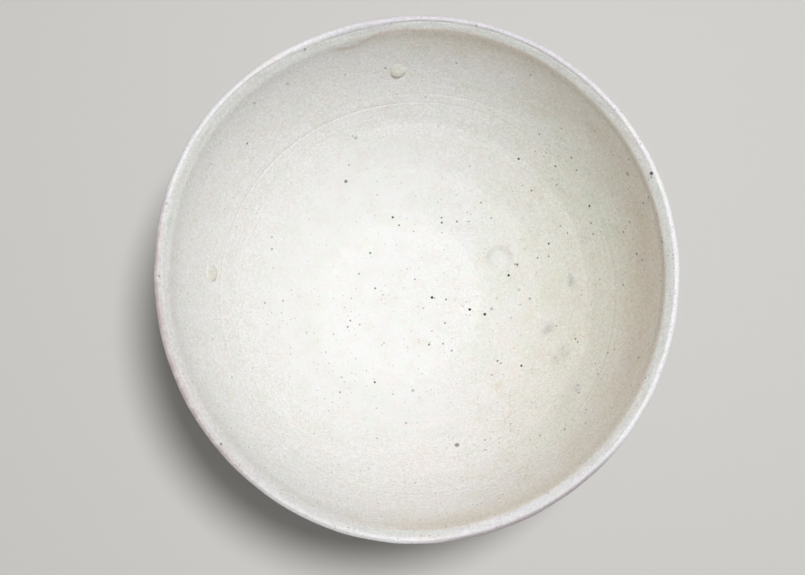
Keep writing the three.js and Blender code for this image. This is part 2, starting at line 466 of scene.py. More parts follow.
def solid_from(name, places, closes, slot, **grids):
    """A closed mesh from a grid of places, rows by columns. A grid that doesn't close on itself
    begins and ends on the axis, where each end row is one point. Named grids of values go with
    it, for its material."""

    def flatten(grid):
        if closes:
            return grid.reshape(-1, *grid.shape[2:])
        return np.concatenate([grid[:1, 0], grid[1:-1].reshape(-1, *grid.shape[2:]), grid[-1:, 0]])

    rows, columns = places.shape[:2]
    points = flatten(places)
    step = np.arange(columns)
    turn = np.roll(step, -1)

    def ring(row):
        return (row % rows) * columns if closes else 1 + (row - 1) * columns

    row = (np.arange(rows) if closes else np.arange(1, rows - 2))[:, None]
    here, there = ring(row), ring(row + 1)
    quads = np.stack([here + step, here + turn, there + turn, there + step], -1)
    faces = quads.reshape(-1, 4).tolist()
    if not closes:
        start, end = np.zeros_like(step), np.full_like(step, len(points) - 1)
        first, last = ring(1), ring(rows - 2)
        for fan in ([start, first + turn, first + step], [end, last + step, last + turn]):
            faces += np.stack(fan, 1).tolist()
    mesh = bpy.data.meshes.new(name)
    mesh.from_pydata((points * MM).tolist(), [], faces)
    mesh.validate()
    mesh.shade_smooth()
    mesh.set_sharp_from_angle(angle=math.radians(50))
    for title, values in grids.items():
        layer = mesh.attributes.new(title, "FLOAT", "POINT")
        layer.data.foreach_set("value", flatten(values).astype(np.float32))
    piece = add_object(name, mesh)
    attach(piece, "root")
    return piece


def column_angles(count, crowded=()):
    """Angles round the bowl, without the last, closer together near the given places."""
    marks = []
    for place, reach, strength in crowded:
        share = (math.atan2(place[1], place[0]) / (2 * math.pi)) % 1
        width = reach / (2 * math.pi * math.hypot(place[0], place[1]))
        marks.append((share, width, strength))
    return 2 * math.pi * spread(count + 1, marks)[:-1]


def across(rows, columns):
    """Profile rows repeated on every column."""
    return np.repeat(np.asarray(rows)[:, None], columns, axis=1)


class Nodes:
    """Short calls that build a material's nodes. A socket or a plain value can be an input."""

    def __init__(self, name):
        self.material = bpy.data.materials.new(name)
        self.material.use_nodes = True
        self.tree = self.material.node_tree
        self.shader = self.tree.nodes["Principled BSDF"]
        place = self.add("TexCoord")["Object"]
        self.mm = self.add("VectorMath", {0: place, "Scale": 1 / MM}, operation="SCALE")[0]
        self.x, self.y, self.z = self.add("SeparateXYZ", {0: self.mm})

    def feed(self, node, inputs):
        for key, value in inputs.items():
            if isinstance(value, bpy.types.NodeSocket):
                self.tree.links.new(value, node.inputs[key])
            else:
                node.inputs[key].default_value = value

    def add(self, kind, inputs=(), **settings):
        """The outputs of a new node. Its inputs come in their order, or by number or name."""
        node = self.tree.nodes.new("ShaderNode" + kind)
        for key, value in settings.items():
            setattr(node, key, value)
        self.feed(node, inputs if isinstance(inputs, dict) else dict(enumerate(inputs)))
        return node.outputs

    def math(self, operation, *inputs):
        return self.add("Math", inputs, operation=operation)[0]

    def product(self, first, *others):
        for other in others:
            first = self.math("MULTIPLY", first, other)
        return first

    def less(self, first, second):
        return self.math("SUBTRACT", first, second)

    def vector(self, operation, *inputs, out=0):
        return self.add("VectorMath", inputs, operation=operation)[out]

    def range(self, value, low, high, start=0, end=1, kind="SMOOTHSTEP"):
        inputs = (value, low, high, start, end)
        return self.add("MapRange", inputs, interpolation_type=kind)[0]

    def toward(self, heading):
        """How far each point lies toward a heading, in mm from the axis."""
        return self.vector("DOT_PRODUCT", self.mm, (*polar(heading), 0), out="Value")

    def away_from(self, place):
        return self.vector("DISTANCE", self.mm, tuple(place), out="Value")

    def near(self, value, centre, half_width, edge):
        """1 where a value is within half_width of the centre, falling to 0 over the edge."""
        away = self.math("ABSOLUTE", self.less(value, centre))
        return self.range(away, half_width, half_width + edge, 1, 0)

    def values(self, title):
        """The values that the mesh has under a title."""
        return self.add("Attribute", attribute_name=title)["Fac"]

    def noise(self, size, detail=2, roughness=0.5):
        inputs = {"Vector": self.mm, "Scale": 1 / size, "Detail": detail, "Roughness": roughness}
        return self.add("TexNoise", inputs)["Fac"]

    def drift(self, reach, *noise):
        """Noise round nought, which strays to either side by half the reach at most."""
        return self.product(self.less(self.noise(*noise), 0.5), reach)

    def mix(self, share, first, second, blend="MIX"):
        inputs = {0: share, 6: first, 7: second}
        return self.add("Mix", inputs, data_type="RGBA", blend_type=blend)[2]

    def layers(self, colour, *layers):
        """A colour under layers of (share, colour)."""
        for share, layer in layers:
            colour = self.mix(share, colour, layer)
        return colour

    def toned(self, colour, tone):
        """A colour made lighter or darker by a number."""
        grey = self.add("CombineColor", (tone, tone, tone))[0]
        return self.mix(1, colour, grey, "MULTIPLY")

    def specks(self, cell, chance, radius, shift=0):
        """Small dots: one cell in so many holds one, of up to the given radius."""
        place = self.vector("ADD", self.mm, (shift, shift, shift))
        dots = self.add("TexVoronoi", {"Vector": place, "Scale": 1 / cell})
        draw = self.add("SeparateColor", {0: dots["Color"]})[0]
        size = self.range(draw, 1 - chance, 1, 0, radius / cell, "LINEAR")
        core = self.product(size, SPECK_CORE)
        return self.range(dots["Distance"], core, size, 1, 0)

    def spots(self, piece, marks, soft):
        """The strongest of some round marks at each place. Soft is the share of their radius
        over which they fade."""
        total = 0
        for x, y, width, strength in marks:
            away = self.away_from(seen_on(piece, (x, y)))
            spot = self.range(away, width / 2 * (1 - soft), width / 2, strength, 0)
            total = self.math("MAXIMUM", total, spot)
        return total

    def bump(self, height, distance, strength, **under):
        inputs = {"Height": height, "Distance": distance * MM, "Strength": strength, **under}
        return self.add("Bump", inputs)[0]

    def finish(self, colour, roughness, normal):
        self.feed(self.shader, {"Base Color": colour, "Roughness": roughness, "Normal": normal})
        return self.material


def rgb(red, green, blue):
    return (red, green, blue, 1)


# The share of a dot's radius that is dark throughout.
SPECK_CORE = 0.4

# Colours, as linear light.
FLOOR_WHITE = rgb(0.76, 0.761, 0.757)
WHITE_GLAZE = rgb(0.822, 0.818, 0.803)
GREY_GLAZE = rgb(0.7, 0.708, 0.688)
PINK_TINT = rgb(1, 0.966, 0.952)
GREEN_TINT = rgb(0.966, 0.99, 0.955)
ROSE_TINT = rgb(1.035, 1, 1)
GREEN_BEIGE = rgb(0.73, 0.732, 0.625)
PINK_BEIGE = rgb(0.71, 0.65, 0.54)
PALE_BEIGE = rgb(0.82, 0.775, 0.68)
STAIN_AND_SHADE = rgb(0.52, 0.42, 0.33)
SEAM_TAN_AND_SHADE = rgb(0.59, 0.49, 0.43)
RUST = rgb(0.6, 0.42, 0.26)
LIP_WHITE = rgb(0.804, 0.794, 0.815)
LIP_LILAC = rgb(0.63, 0.59, 0.65)
BEVEL_WHITE = rgb(0.745, 0.748, 0.728)
DULL_LIP = rgb(0.7, 0.69, 0.68)
WORN_AND_SHADED_LIP = rgb(0.53, 0.45, 0.44)
SHADED_LIP_EDGE = rgb(0.42, 0.37, 0.385)
BLISTER_TAN = rgb(0.6, 0.58, 0.45)
THIN_GLAZE = rgb(0.62, 0.55, 0.43)
SPECK_BROWN = rgb(0.13, 0.095, 0.07)
SPECK_DARK = rgb(0.012, 0.01, 0.009)
SMUDGE_AND_SHADE_GREY = rgb(0.46, 0.46, 0.44)
CLAY = rgb(0.47, 0.34, 0.21)
CLAY_PALE = rgb(0.58, 0.45, 0.3)
CLAY_DARK = rgb(0.3, 0.19, 0.11)

# What was seen on the glaze: across and down in the photograph, in its pixels, then the width
# in mm and the strength. Specks are of iron.
DARK_SPECKS = [
    (432, 297.5, 1.1, 1), (446, 299.4, 0.8, 0.7), (469.7, 309.5, 1.1, 1), (484.8, 314.3, 1.1, 1),
    (508.6, 275.3, 1, 1), (392.8, 217.3, 1, 0.85), (399, 225.3, 0.8, 0.7), (441.8, 222.7, 0.9, 0.8),
    (441.8, 217.7, 0.7, 0.7), (441.8, 232.6, 0.7, 0.5), (456.9, 221.5, 0.8, 0.75), (469, 221.5, 0.7, 0.5),
    (481, 202.6, 0.8, 0.5), (491.3, 218, 0.8, 0.5), (548.7, 243.6, 0.9, 0.85), (548.7, 256.3, 0.8, 0.6),
    (375.2, 288.3, 0.8, 0.75), (370.2, 253, 0.9, 0.75), (414.8, 279.3, 0.7, 0.65), (429.1, 344.5, 0.9, 0.75),
    (497.5, 360.8, 0.8, 0.8), (500.9, 363.3, 0.7, 0.7), (521.4, 365.7, 1, 0.9), (374.8, 382.2, 0.9, 0.85),
    (339.8, 392.2, 0.8, 0.6), (350.3, 320.6, 0.8, 0.65), (347.8, 326.9, 0.8, 0.65), (359, 274, 0.7, 0.6),
    (445, 323.1, 0.8, 0.6), (423.4, 308.2, 0.7, 0.5), (413.5, 231.3, 0.7, 0.5), (345.9, 181.4, 1.4, 0.7),
    (247, 143.5, 1, 0.65), (254.4, 103.3, 1.1, 0.4), (349, 165, 0.8, 0.5), (345.2, 74.6, 0.8, 0.4),
    (518.6, 158.8, 1, 0.85), (555.4, 166.3, 0.9, 0.65), (571.4, 158, 0.9, 0.6), (576.6, 170.2, 0.9, 0.6),
    (589.4, 206, 1, 0.85), (531.5, 190.5, 0.9, 0.6), (522.7, 185.6, 0.8, 0.45), (556.5, 185, 0.8, 0.45),
    (561.7, 128.6, 0.8, 0.45), (530.7, 75, 0.9, 0.45), (456.4, 63, 0.9, 0.45), (425.4, 97, 0.8, 0.35),
    (560.4, 225.9, 0.7, 0.6), (567.5, 233, 0.7, 0.6), (593, 234, 0.8, 0.5), (623.2, 232, 0.9, 0.5),
    (629.8, 222, 0.9, 0.45), (623.2, 285, 0.9, 0.45), (529.8, 298.6, 1.1, 0.45), (556.5, 326, 0.8, 0.45),
    (575.5, 338.8, 0.8, 0.65), (577.7, 342, 0.8, 0.55), (614.4, 349.5, 0.8, 0.45), (607.8, 353.1, 0.8, 0.45),
    (491.7, 374.8, 0.8, 0.5), (272, 249, 0.9, 0.55), (272, 237, 0.8, 0.5), (385.4, 68.2, 1, 0.5),
    (383, 294.8, 0.7, 0.4), (432, 331, 0.7, 0.4), (577.5, 385.2, 0.8, 0.55), (578.8, 392.8, 0.8, 0.6),
    (586.3, 409.7, 0.8, 0.55), (540, 435.6, 0.8, 0.45), (485, 440, 0.9, 0.5), (600.4, 231.7, 0.7, 0.45),
    (636.8, 254, 1, 0.6), (642, 259.7, 0.9, 0.5), (643.5, 203.2, 1, 0.5),
]
BROWN_SPECKS = [
    (457, 445, 2.1, 0.75), (517.2, 264.6, 1.25, 0.8), (514.8, 264.1, 0.9, 0.6), (491.5, 308.8, 1.5, 0.45),
    (355.8, 137.8, 1.6, 0.4), (352.5, 136, 1.2, 0.3), (412.9, 390.5, 1.6, 0.4), (406, 423, 1.1, 0.5),
    (287.3, 83.8, 1.5, 0.3), (627.6, 174, 2, 0.4), (519, 290, 1.4, 0.3), (508, 271, 0.9, 0.3),
]
SMUDGES = [
    (570.6, 277.5, 3.8, 0.8), (571.5, 283, 4, 0.75), (548.7, 328.3, 6, 0.7), (545, 332, 4.2, 0.6),
    (551, 326, 3.4, 0.6), (530, 205, 3.6, 0.4), (640, 258, 4.5, 0.3), (213, 180, 3.6, 0.2),
    (564, 352, 7.5, 0.38), (482, 408, 7, 0.14), (556, 358, 6.5, 0.32), (583, 238, 6, 0.16),
    (577, 388, 5.5, 0.4), (583, 414, 5, 0.3), (648, 203, 3.5, 0.35),
]
RUST_TINTS = [
    (499, 385.5, 5.4, 0.27), (516, 276, 9, 0.12), (534, 190, 7, 0.12), (540, 198, 4, 0.12),
]
RIM_SPECKS = [
    (651.4, 173.4, 1.45, 0.9), (221, 444, 1.1, 0.6), (158.8, 276, 0.9, 0.5), (476.5, 25.3, 0.9, 0.4),
    (305, 49.5, 1, 0.5), (662, 241.7, 1.1, 0.5), (166.5, 203.5, 1.2, 0.3),
]


def clouded(nodes, colour):
    """A colour under faint pink and green clouds."""
    pink = nodes.range(nodes.noise(4.5, 5, 0.7), 0.47, 0.62)
    green = nodes.range(nodes.noise(7, 5, 0.7), 0.48, 0.62)
    colour = nodes.mix(green, colour, GREEN_TINT, "MULTIPLY")
    return nodes.mix(pink, colour, PINK_TINT, "MULTIPLY")


def glaze_finish(nodes, colour, calm=0):
    """Fine specks and grain over a colour, and a satin skin with a slight orange peel. The grain
    is fainter where calm is near 1."""
    grain, cloud = nodes.noise(0.42, 2, 0.6), nodes.noise(0.95, 2, 0.6)
    tone = nodes.product(nodes.range(grain, 0.3, 0.7, 0.84, 1.03, "LINEAR"),
                         nodes.range(cloud, 0.3, 0.7, 0.88, 1.03, "LINEAR"))
    tone = nodes.math("ADD", tone, nodes.product(nodes.less(0.93, tone), calm))
    colour = nodes.toned(colour, tone)
    dense = nodes.product(nodes.range(nodes.noise(19), 0.35, 0.6, 0.5, 1),
                          nodes.range(nodes.toward(120), 8, 44, 1, 0.45))
    tiny = nodes.product(nodes.specks(1.2, 0.6, 0.4), dense, 0.4)
    small = nodes.product(nodes.specks(2.7, 0.5, 0.5, shift=31.7), dense, 0.75)
    colour = nodes.layers(colour, (tiny, SPECK_BROWN), (small, SPECK_BROWN))
    roughness = nodes.range(nodes.noise(5), 0.3, 0.7, 0.58, 0.7)
    nodes.shader.inputs["Specular IOR Level"].default_value = 0.25
    peel = nodes.bump(nodes.noise(1.5), 0.06, 0.6)
    return nodes.finish(colour, roughness, nodes.bump(grain, 0.04, 0.5, Normal=peel))


def blister_tone(nodes, colour):
    """Tan over each blister, with a darker middle and painted shade along the edge of its lower side."""
    for centre, (_, width, _) in zip(blister_places, BLISTERS):
        away = nodes.away_from(centre)
        tan = nodes.range(away, 0.36 * width, 0.56 * width, 0.45, 0)
        middle = nodes.range(away, 0.1, 0.7, 0.22, 0)
        lower = nodes.range(nodes.z, centre[2] - 1.4, centre[2] + 0.3, 1, 0)
        # Painted shade along the lower edge of each blister, where the dome turns from the light.
        edge = nodes.product(nodes.near(away, 0.5 * width, 0.1, 0.5), lower, 0.45)
        colour = nodes.layers(colour, (tan, BLISTER_TAN), (middle, STAIN_AND_SHADE), (edge, STAIN_AND_SHADE))
    return colour


def seam_tone(nodes, colour, below):
    """The tan line along the crease at the top, which wanders down the wall at its left end, with a painted
    soft shade below it.
    """
    turn = nodes.product(nodes.math("ARCTAN2", nodes.y, nodes.x), 180 / math.pi)
    rise = nodes.less(nodes.range(turn, 98, 106, 0.3, 4), nodes.range(turn, 106, 112, 0, 1.5))
    seam = nodes.math("ADD", rise, nodes.drift(2, 4, 3, 0.6))
    stretch = nodes.product(nodes.range(turn, 48, 62, 0.4, 1), nodes.range(turn, 108, 114, 1, 0))
    thread = nodes.product(nodes.near(below, seam, 0.1, 1.1), stretch, 0.45)
    past = nodes.less(below, seam)
    # Painted soft shade below the tan line.
    under = nodes.product(nodes.range(past, 0, 7, 0.2, 0), nodes.range(past, -0.8, 0.2), stretch)
    return nodes.layers(colour, (thread, SEAM_TAN_AND_SHADE), (under, SEAM_TAN_AND_SHADE))


def wall_tone(nodes, below):
    """The inside wall's colour: warmer on the right, and a tan line with a painted soft shade under the
    crease at the top.
    """
    side = nodes.math("ADD", nodes.x, nodes.drift(30, 14, 4, 0.65))
    beige = nodes.mix(nodes.range(below, 6, 26, 1, 0), GREEN_BEIGE, PINK_BEIGE)
    warm = nodes.math("MAXIMUM", nodes.range(side, 14, 66, 0, 0.95, "LINEAR"),
                      nodes.product(nodes.range(below, 1, 16, 0.6, 0), nodes.range(side, -30, 20)))
    white = nodes.mix(nodes.range(below, 30, 64), WHITE_GLAZE, FLOOR_WHITE)
    colour = clouded(nodes, nodes.mix(warm, white, beige))
    rose = nodes.range(nodes.toward(-45), 20, 46, 0, 0.7)
    colour = nodes.mix(rose, colour, ROSE_TINT, "MULTIPLY")
    grey = nodes.product(nodes.range(below, 3, 13, 0.4, 0), nodes.range(nodes.x, -50, 0, 1, 0))
    pale = nodes.product(nodes.range(below, 1, 9, 0.6, 0), nodes.range(nodes.x, -20, 40))
    colour = nodes.layers(colour, (grey, GREY_GLAZE), (pale, PALE_BEIGE))
    return seam_tone(nodes, colour, below)


def poured_glaze(piece):
    """The inside, with what was seen on its glaze: smudges, blisters, tints and specks; and painted shade
    along a finger mark, on the blisters' lower edges and under the crease.
    """
    nodes = Nodes("poured_glaze")
    below = nodes.values("below_crease")
    bubble = nodes.product(nodes.near(nodes.away_from(bubble_place), BROKEN_BUBBLE[1], 0.4, 1),
                           nodes.range(nodes.y, bubble_place[1] - 4, bubble_place[1] + 1), 0.3)
    colour = nodes.mix(bubble, wall_tone(nodes, below), SMUDGE_AND_SHADE_GREY)
    # Painted shade along the upper side of the first finger mark, in a grey that also serves for smudges.
    dust = nodes.product(nodes.values("groove_dust"), 0.13)
    mottle = nodes.range(nodes.noise(0.9, 3, 0.6), 0.4, 0.6, 0.35, 1)
    smudges = nodes.product(nodes.spots(piece, SMUDGES, 0.9), mottle)
    colour = nodes.layers(
        blister_tone(nodes, colour), (dust, SMUDGE_AND_SHADE_GREY), (smudges, SMUDGE_AND_SHADE_GREY),
        (nodes.spots(piece, RUST_TINTS, 1), RUST),
        (nodes.spots(piece, BROWN_SPECKS, 0.6), SPECK_BROWN),
        (nodes.spots(piece, DARK_SPECKS, 0.4), SPECK_DARK))
    calm = nodes.product(nodes.range(below, 36, 60), nodes.range(nodes.x, -10, 22, 0.75, 0.3))
    return glaze_finish(nodes, colour, calm)


def dipped_glaze(piece):
    """The outside: whiter over the lip, and thinner and browner along the glaze line. The lip's outer
    rounding has painted shade at the front and, with thin worn glaze, on the left.
    """
    nodes = Nodes("dipped_glaze")
    below = nodes.values("below_crease")
    over = nodes.math("ADD", below, LIP_BEVEL)
    wide = nodes.range(nodes.toward(WIDE_LIP_HEADING), 67.5, 70, 0, WIDE_LIP)
    inner = nodes.less(over, wide)
    whiter = nodes.range(over, -7, -2, 0, 0.9)
    lilac = nodes.product(nodes.range(over, -2, -1), nodes.range(nodes.y, 35, 68, 0, 0.65),
                          nodes.range(nodes.x, -45, -10))
    colour = nodes.layers(WHITE_GLAZE, (whiter, LIP_WHITE), (lilac, LIP_LILAC))
    front = nodes.range(nodes.toward(296), 64.5, 71)
    bevel = nodes.layers(
        colour, (nodes.range(over, -0.4, 1.2), GREY_GLAZE),
        (nodes.range(nodes.x, -45, 10), BEVEL_WHITE),
        (nodes.range(nodes.y, 20, 64, 0, 0.8), GREY_GLAZE), (front, LIP_WHITE))
    colour = clouded(nodes, nodes.mix(nodes.range(inner, -0.3, 0.1), colour, bevel))
    dull = nodes.product(nodes.range(over, -1.4, -0.8), nodes.range(nodes.toward(220), 47, 68, 0, 0.8))
    inside = nodes.range(below, -0.7, 0.4)
    groove = nodes.product(nodes.near(inner, -0.05, 0.1, 0.4), nodes.range(nodes.y, 20, 60, 0, 0.4))
    # Painted shade on the lip's outer rounding at the front, where it turns from the light.
    edge = nodes.product(nodes.range(over, -1, 0, 0.9, 0), nodes.range(over, -3.5, -1.8), front)
    # On the left the lip's outer rounding is darker and pinker: thin worn glaze, with painted shade where it
    # turns from the light.
    worn = nodes.product(nodes.range(over, -0.6, 0.4, 1, 0), nodes.range(over, -4.5, -2),
                         nodes.range(nodes.toward(198), 54, 69, 0, 0.9),
                         nodes.range(nodes.noise(3, 3, 0.6), 0.35, 0.6, 0.5, 1))
    thin = nodes.product(nodes.range(nodes.z, FOOT_HEIGHT + 1.5, FOOT_HEIGHT + 7, 0.6, 0),
                         nodes.range(nodes.noise(4, 3, 0.6), 0.35, 0.65))
    specks = nodes.spots(piece, RIM_SPECKS, 0.6)
    return glaze_finish(nodes, nodes.layers(
        colour, (dull, DULL_LIP), (inside, wall_tone(nodes, below)), (groove, SMUDGE_AND_SHADE_GREY),
        (edge, SHADED_LIP_EDGE), (worn, WORN_AND_SHADED_LIP), (thin, THIN_GLAZE), (specks, SPECK_DARK)))


def clay_material(name):
    """Bare fired stoneware: sandy, buff, with toasted patches and dark iron grains."""
    nodes = Nodes(name)
    sand = nodes.noise(0.35, 2, 0.6)
    grains = nodes.product(nodes.specks(1.3, 0.3, 0.28, shift=5.2), 0.75)
    colour = nodes.layers(
        CLAY, (nodes.range(nodes.noise(9, 3, 0.6), 0.4, 0.65), CLAY_PALE),
        (nodes.range(nodes.noise(17), 0.5, 0.7, 0, 0.5), CLAY_DARK),
        (nodes.range(sand, 0.55, 0.75, 0, 0.55), CLAY_PALE),
        (nodes.range(sand, 0.25, 0.42, 0.5, 0), CLAY_DARK), (grains, SPECK_DARK))
    coarse = nodes.bump(nodes.noise(1.1, 3, 0.6), 0.12, 0.6)
    fine = nodes.bump(sand, 0.06, 0.8, Normal=coarse)
    return nodes.finish(colour, nodes.range(sand, 0.3, 0.7, 0.8, 0.95), fine)


def leaned(share, angle):
    """Rows of the wall lean so that each finger mark goes round its own centre."""
    stops = np.array([0, *(mark[0] for mark in FINGER_MARKS), 1])
    leans = np.zeros((len(stops), len(angle)))
    step = 0.01
    for row, (stop, _, _, centre, *_) in enumerate(FINGER_MARKS, 1):
        inward = (wall(stop + step) - wall(stop - step))[0] / (2 * step)
        leans[row] = (centre[0] * np.cos(angle) + centre[1] * np.sin(angle)) / inward
    index = np.clip(np.searchsorted(stops, share) - 1, 0, len(stops) - 2)
    part = ((share - stops[index]) / (stops[index + 1] - stops[index]))[:, None]
    return share[:, None] + leans[index] * (1 - part) + leans[index + 1] * part


def wall_mark(share, angle, stop, half_width, *lobe_sizes):
    """1 in the middle of a mark round the wall, falling beside it and round the bowl."""
    return np.outer(hump(share, stop, half_width / wall_length), lobe(angle, *lobe_sizes))


def finger_relief(share, angle):
    """The finger marks and a scratch, as heights below nought, on rows by columns."""
    return -sum(depth * wall_mark(share, angle, stop, half_width, *lobe_sizes)
                for stop, depth, half_width, _, *lobe_sizes in (*FINGER_MARKS, SCRATCH))


def groove_dust(share, angle):
    """Painted shade along the upper side of the first, narrow finger mark, from 0 to 1."""
    stop, _, half_width, _, *lobe_sizes = FINGER_MARKS[0]
    side = stop - SHADE_OFFSET * half_width / wall_length
    return wall_mark(share, angle, side, SHADE_SPREAD * half_width, *lobe_sizes)


def pool_shift(radius):
    """How far rows near the pool lie off centre, to the right and to the top, by their radius."""
    return np.multiply.outer(POOL_OFF_CENTRE, between(radius, 4, 17, 29, 42))


def through_wall(before, lean, after):
    """Places and normals of the rows before the wall, of its leaning rows and of those after."""
    columns = lean.shape[1]
    return [np.concatenate([across(first, columns), middle, across(last, columns)])
            for first, middle, last in zip(before, (wall(lean), normals(wall, lean)), after)]


def make_inner_glaze():
    # Columns and rows lie closer together at the blisters, the finger marks and the scratch.
    angle = column_angles(480, [(place, 3, 5) for place in blister_places])
    crowds = [(mark[0], max(mark[2], 0.5) * 1.3 / wall_length, 3 if mark[2] > 1 else 7)
              for mark in FINGER_MARKS]
    crowds.append((SCRATCH[0], 0.6 / wall_length, 5))
    shares = even(800)
    for place in blister_places:
        nearest = shares[np.argmin(abs(wall(shares)[:, 1] - place[2]))]
        crowds.append((nearest, 2.2 / wall_length, 2.4))
    shares = spread(122, crowds)[:-1]
    lean = leaned(shares, angle)
    lip = [(lip_fall, [0, 0.5]), (lip_bevel, [0, 0.35, 0.7])]
    low = rows_of((pool_side, [0, 0.25, 0.5, 0.75]), (pool_floor, even(30)))
    place, outward = through_wall(rows_of(*lip), lean, low)
    lip_run = before_end(*lip)[:, None]
    wall_rows = slice(len(lip_run), len(lip_run) + len(shares))
    run = np.full(place.shape[:2], wall_length)
    run[:len(lip_run)] = lip_run
    run[wall_rows] = lean * wall_length
    coat = pour_coat(run)

    along = shares[:, None] * wall_length
    swell = unevenness(angle, along, reach=0.05, seed=11)
    swell += 0.014 * np.sin(2 * np.pi * along / 2.7 + angle + 2 * np.sin(angle * 2))
    radius = place[..., 0]
    relief = crease_wear(run, angle) + 0.05 * hump(radius, POOL_RADIUS + POOL_STEP_WIDTH, 2.2)
    relief[wall_rows] += finger_relief(shares, angle)
    relief[wall_rows] += swell * between(along, 1.5, 8, 60, wall_length)
    # Painted shade along the upper side of the first finger mark, kept with the mesh for its material.
    dust = np.zeros_like(run)
    dust[wall_rows] = groove_dust(shares, angle)
    shift = pool_shift(radius)
    relief += bubble_relief(lifted(place, outward, GAP + coat, angle, shift))
    top = lifted(place, outward, GAP + coat + relief, angle, shift)
    back = np.unique([*range(0, len(place), 6), len(place) - 1])[::-1]
    under = lifted(place, outward, GAP + np.minimum(relief, 0), angle, shift)[back]
    piece = solid_from("inner_glaze_skin", np.concatenate([under, top]), False, "poured_glaze",
                       below_crease=np.concatenate([run[back], run]),
                       groove_dust=np.concatenate([dust[back], dust]))
    piece.data.materials.append(poured_glaze(piece))
    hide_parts("inner_glaze")


def glaze_line(angle):
    """How far the glaze line lies above its mean place, along the trimmed band."""
    drips = sum(run * lobe(angle, heading, half_width) for heading, half_width, run in DRIPS)
    return waves(GLAZE_LINE_WAVES, angle) - drips


def make_outer_glaze():
    columns = 540
    angle = column_angles(columns)
    band_run = np.concatenate([np.linspace(0, BEAD_RUNS[-1], 11),
                               np.linspace(3.2, band_length - GLAZE_LINE_RISE, 15)[:-1]])
    band_share = (GLAZE_LINE_RISE + band_run) / band_length
    belly_share = steps(83)
    bevel_share = [0, 0.04, 0.08, 0.12, 0.17, 0.24, 0.31, 0.38, 0.46, 0.57, 0.7, 0.85]
    lap_share = np.array([0, 0.17, 0.34, 0.5, 0.66, 0.8, 0.92, 1])[:, None]
    profile = [(band, band_share), (belly, belly_share), (lip_rise, steps(6)), (lip_fall, steps(7)),
               (lip_bevel, bevel_share)]
    place, outward = rows_of(*profile)
    lap_run = lap_share * (LAP + SOFT_LAP * softness(angle) + waves(LAP_WAVES, angle))
    turned = (0.5 + 0.5 * smooth(lap_share, 0, 1))[..., None]
    lap_normal = unit(turned * normals(wall, lap_run / wall_length) + (1 - turned) * outward[-1])
    place = np.concatenate([across(place, columns), wall(lap_run / wall_length)])
    outward = np.concatenate([across(outward, columns), lap_normal])
    run = np.concatenate([across(before_end(*profile), columns), lap_run])
    n_band, lip_row, over, bevel_row, lap_row = np.cumsum([len(share) for _, share in profile])
    belly_rows = slice(n_band, lip_row)
    belly_share = belly_share[:, None]
    row = np.arange(len(place))[:, None]

    lift = np.full(run.shape, GAP)
    lift[over:] = 2 * GAP + pour_coat(run[over:])
    lift[lap_row:] -= (GAP - LAP_GAP) * smooth(lap_share, 0.2, 1)
    coat = np.full(run.shape, LIP_COAT)
    coat[:n_band] = np.interp(band_run, BEAD_RUNS, BEAD_COATS)[:, None]
    coat[belly_rows] += (OUTER_COAT - LIP_COAT) * (1 - smooth(belly_share, 0.6, 1))
    thinner = smooth(np.array(bevel_share), 0, 1)[:, None]
    coat[bevel_row:lap_row] -= (LIP_COAT - CREASE_COAT) * thinner
    coat[lap_row:] = LAP_GAP + (CREASE_COAT - LAP_GAP) * (1 - smooth(lap_share, 0.1, 1))

    relief = crease_wear(run, angle)
    relief[belly_rows] += ridges(belly_share)
    relief[belly_rows] += ridges(belly_share, FINE_RIDGES, FINE_RIDGE_HEIGHT, angle)
    settle = between(row, 8, 20, lip_row - 14, lip_row - 4)
    relief += unevenness(angle, row * 0.7, reach=0.07, seed=5) * settle
    on_lip = between(row, lip_row - 8, lip_row, lap_row - 4, lap_row)
    relief += unevenness(angle, run / 3, reach=0.045, seed=23, least=6, most=44, pitch=3) * on_lip
    groove = GROOVE_DEPTH * lobe(angle, *GROOVE_STRETCH)
    groove = groove * (1 + unevenness(angle, 0, reach=0.45, seed=29, least=9, most=70))
    inside = GROOVE_INSIDE + WIDE_LIP * lobe(angle, WIDE_LIP_HEADING, WIDE_LIP_STRETCH)
    relief -= groove * hump(run + LIP_BEVEL, inside, GROOVE_HALF_WIDTH)

    slide = np.zeros((len(place), 1))
    slide[:n_band, 0] = (1 - band_share) / (1 - band_share[0])
    place = place + (slide * glaze_line(angle))[..., None] * band_way
    top = lifted(place, outward, lift + coat + relief, angle)
    back = np.unique([*range(0, over, 6), *range(over, len(place), 2), len(place) - 1])[::-1]
    sunk = np.where(row < over, np.minimum(relief, 0), 0)
    sunk[belly_rows] = ridges(belly_share)
    under = lifted(place, outward, lift + sunk, angle)[back]
    piece = solid_from("outer_glaze_skin", np.concatenate([top, under]), True, "dipped_glaze",
                       below_crease=np.concatenate([run, run[back]]))
    piece.data.materials.append(dipped_glaze(piece))
    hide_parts("outer_glaze")


def clay_underside():
    """Rows under the floor, from the cone in the middle out to the band's rounded foot."""
    share = even(26)
    cone = np.stack([share * CONE_RADIUS, ceiling - CONE_HEIGHT * (1 + np.cos(np.pi * share)) / 2], 1)
    plate = bezier([CONE_RADIUS, ceiling], [hollow - HOLLOW_DEPTH - 0.4, ceiling])
    corner = arc([hollow - HOLLOW_DEPTH - 0.2, ceiling - HOLLOW_DEPTH], HOLLOW_DEPTH, 90, 0)
    seat = bezier([hollow + 0.2, band_foot[1]], band_foot - [BAND_ROUND, 0])
    edge = arc(band_foot + [-BAND_ROUND, BAND_ROUND], BAND_ROUND, -90, -40)
    return np.concatenate([cone, plate(even(36)[1:]), corner(even(7)),
                           seat(even(4)), edge(even(4)[1:])])


